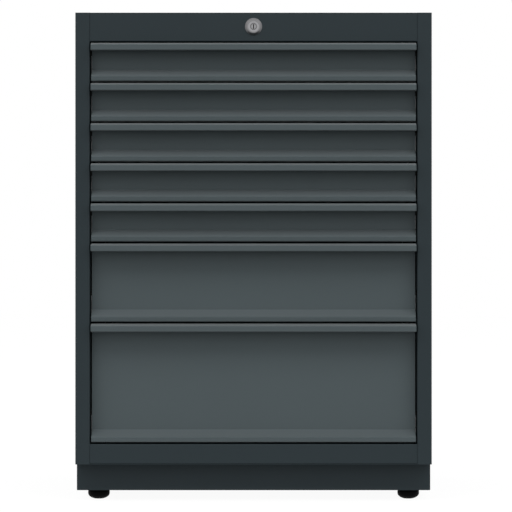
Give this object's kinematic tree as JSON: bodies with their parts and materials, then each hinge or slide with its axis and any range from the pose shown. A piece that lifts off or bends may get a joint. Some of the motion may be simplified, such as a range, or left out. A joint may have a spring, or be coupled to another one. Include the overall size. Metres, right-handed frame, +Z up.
{
  "type": "drawer base cabinet",
  "caption": "Lockable steel base cabinet with full-width drawers on telescopic slides, a plinth and levelling feet",
  "frame": {"origin": "on the floor, under the middle of the cabinet's bounding box", "axes": "+X to the right seen from the front, +Y to the back (the drawers open along -Y), +Z up"},
  "size_m": [0.666, 0.6, 0.915],
  "materials": {
    "casing_paint": "fine-textured satin powder coat, anthracite",
    "front_paint": "fine-textured satin powder coat, basalt grey",
    "box_paint": "satin powder coat inside the drawers",
    "slide_steel": "bright zinc-plated rolled steel",
    "zinc_plate": "zinc-plated steel sheet",
    "lock_nickel": "satin nickel plate",
    "guide_plastic": "moulded black nylon",
    "foot_plastic": "moulded black plastic"
  },
  "bodies": {
    "housing": {"side_panel_left": "casing_paint", "side_panel_right": "casing_paint", "top_panel": "casing_paint", "bottom_panel": "casing_paint", "back_panel": "casing_paint", "top_rail": "casing_paint", "bottom_rail": "casing_paint", "plinth": "casing_paint", "foot_brackets": "zinc_plate", "uprights_left": "casing_paint", "uprights_right": "casing_paint", "outer_slides_left": "slide_steel", "outer_slides_right": "slide_steel", "lock_cylinder": "lock_nickel", "lock_bar_guides": "guide_plastic"},
    "drawer_1": {"drawer_1_box": "box_paint", "drawer_1_front": "front_paint", "drawer_1_handle": "front_paint", "drawer_1_inner_slides": "slide_steel"},
    "slide_middle_1": {"drawer_1_middle_slides": "slide_steel"},
    "drawer_2": {"drawer_2_box": "box_paint", "drawer_2_front": "front_paint", "drawer_2_handle": "front_paint", "drawer_2_inner_slides": "slide_steel"},
    "slide_middle_2": {"drawer_2_middle_slides": "slide_steel"},
    "drawer_3": {"drawer_3_box": "box_paint", "drawer_3_front": "front_paint", "drawer_3_handle": "front_paint", "drawer_3_inner_slides": "slide_steel"},
    "slide_middle_3": {"drawer_3_middle_slides": "slide_steel"},
    "drawer_4": {"drawer_4_box": "box_paint", "drawer_4_front": "front_paint", "drawer_4_handle": "front_paint", "drawer_4_inner_slides": "slide_steel"},
    "slide_middle_4": {"drawer_4_middle_slides": "slide_steel"},
    "drawer_5": {"drawer_5_box": "box_paint", "drawer_5_front": "front_paint", "drawer_5_handle": "front_paint", "drawer_5_inner_slides": "slide_steel"},
    "slide_middle_5": {"drawer_5_middle_slides": "slide_steel"},
    "drawer_6": {"drawer_6_box": "box_paint", "drawer_6_front": "front_paint", "drawer_6_handle": "front_paint", "drawer_6_inner_slides": "slide_steel"},
    "slide_middle_6": {"drawer_6_middle_slides": "slide_steel"},
    "drawer_7": {"drawer_7_box": "box_paint", "drawer_7_front": "front_paint", "drawer_7_handle": "front_paint", "drawer_7_inner_slides": "slide_steel"},
    "slide_middle_7": {"drawer_7_middle_slides": "slide_steel"},
    "lock_plug": {"lock_plug": "lock_nickel", "lock_cam": "zinc_plate"},
    "lock_bars": {"lock_crossbar": "zinc_plate", "lock_bar_left": "zinc_plate", "lock_bar_right": "zinc_plate"},
    "foot_front_left": {"foot_front_left": "foot_plastic"},
    "foot_front_right": {"foot_front_right": "foot_plastic"},
    "foot_rear_left": {"foot_rear_left": "foot_plastic"},
    "foot_rear_right": {"foot_rear_right": "foot_plastic"}
  },
  "joints": [
    {"name": "drawer_1_slide", "type": "slide", "parent": "housing", "child": "drawer_1", "axis": [0, -1, 0], "range_m": [0, 0.49]},
    {"name": "drawer_1_middle_slide", "type": "slide", "parent": "housing", "child": "slide_middle_1", "axis": [0, -1, 0], "range_m": [0, 0.245]},
    {"name": "drawer_2_slide", "type": "slide", "parent": "housing", "child": "drawer_2", "axis": [0, -1, 0], "range_m": [0, 0.49]},
    {"name": "drawer_2_middle_slide", "type": "slide", "parent": "housing", "child": "slide_middle_2", "axis": [0, -1, 0], "range_m": [0, 0.245]},
    {"name": "drawer_3_slide", "type": "slide", "parent": "housing", "child": "drawer_3", "axis": [0, -1, 0], "range_m": [0, 0.49]},
    {"name": "drawer_3_middle_slide", "type": "slide", "parent": "housing", "child": "slide_middle_3", "axis": [0, -1, 0], "range_m": [0, 0.245]},
    {"name": "drawer_4_slide", "type": "slide", "parent": "housing", "child": "drawer_4", "axis": [0, -1, 0], "range_m": [0, 0.49]},
    {"name": "drawer_4_middle_slide", "type": "slide", "parent": "housing", "child": "slide_middle_4", "axis": [0, -1, 0], "range_m": [0, 0.245]},
    {"name": "drawer_5_slide", "type": "slide", "parent": "housing", "child": "drawer_5", "axis": [0, -1, 0], "range_m": [0, 0.49]},
    {"name": "drawer_5_middle_slide", "type": "slide", "parent": "housing", "child": "slide_middle_5", "axis": [0, -1, 0], "range_m": [0, 0.245]},
    {"name": "drawer_6_slide", "type": "slide", "parent": "housing", "child": "drawer_6", "axis": [0, -1, 0], "range_m": [0, 0.49]},
    {"name": "drawer_6_middle_slide", "type": "slide", "parent": "housing", "child": "slide_middle_6", "axis": [0, -1, 0], "range_m": [0, 0.245]},
    {"name": "drawer_7_slide", "type": "slide", "parent": "housing", "child": "drawer_7", "axis": [0, -1, 0], "range_m": [0, 0.49]},
    {"name": "drawer_7_middle_slide", "type": "slide", "parent": "housing", "child": "slide_middle_7", "axis": [0, -1, 0], "range_m": [0, 0.245]},
    {"name": "lock_bar_lift", "type": "slide", "parent": "housing", "child": "lock_bars", "axis": [0, 0, 1], "range_m": [0, 0.0113]},
    {"name": "lock_plug_turn", "type": "hinge", "parent": "housing", "child": "lock_plug", "pos_m": [0, -0.281, 0.889], "axis": [0, 1, 0], "range_deg": [0, 90]},
    {"name": "foot_front_left_height", "type": "slide", "parent": "housing", "child": "foot_front_left", "axis": [0, 0, -1], "range_m": [0, 0.015]},
    {"name": "foot_front_right_height", "type": "slide", "parent": "housing", "child": "foot_front_right", "axis": [0, 0, -1], "range_m": [0, 0.015]},
    {"name": "foot_rear_left_height", "type": "slide", "parent": "housing", "child": "foot_rear_left", "axis": [0, 0, -1], "range_m": [0, 0.015]},
    {"name": "foot_rear_right_height", "type": "slide", "parent": "housing", "child": "foot_rear_right", "axis": [0, 0, -1], "range_m": [0, 0.015]}
  ],
  "couplings": [
    {"joint": "drawer_1_middle_slide", "follows": "drawer_1_slide", "ratio": 0.5},
    {"joint": "drawer_2_middle_slide", "follows": "drawer_2_slide", "ratio": 0.5},
    {"joint": "drawer_3_middle_slide", "follows": "drawer_3_slide", "ratio": 0.5},
    {"joint": "drawer_4_middle_slide", "follows": "drawer_4_slide", "ratio": 0.5},
    {"joint": "drawer_5_middle_slide", "follows": "drawer_5_slide", "ratio": 0.5},
    {"joint": "drawer_6_middle_slide", "follows": "drawer_6_slide", "ratio": 0.5},
    {"joint": "drawer_7_middle_slide", "follows": "drawer_7_slide", "ratio": 0.5},
    {"joint": "lock_plug_turn", "follows": "lock_bar_lift", "rad_per_m": 138.84}
  ]
}
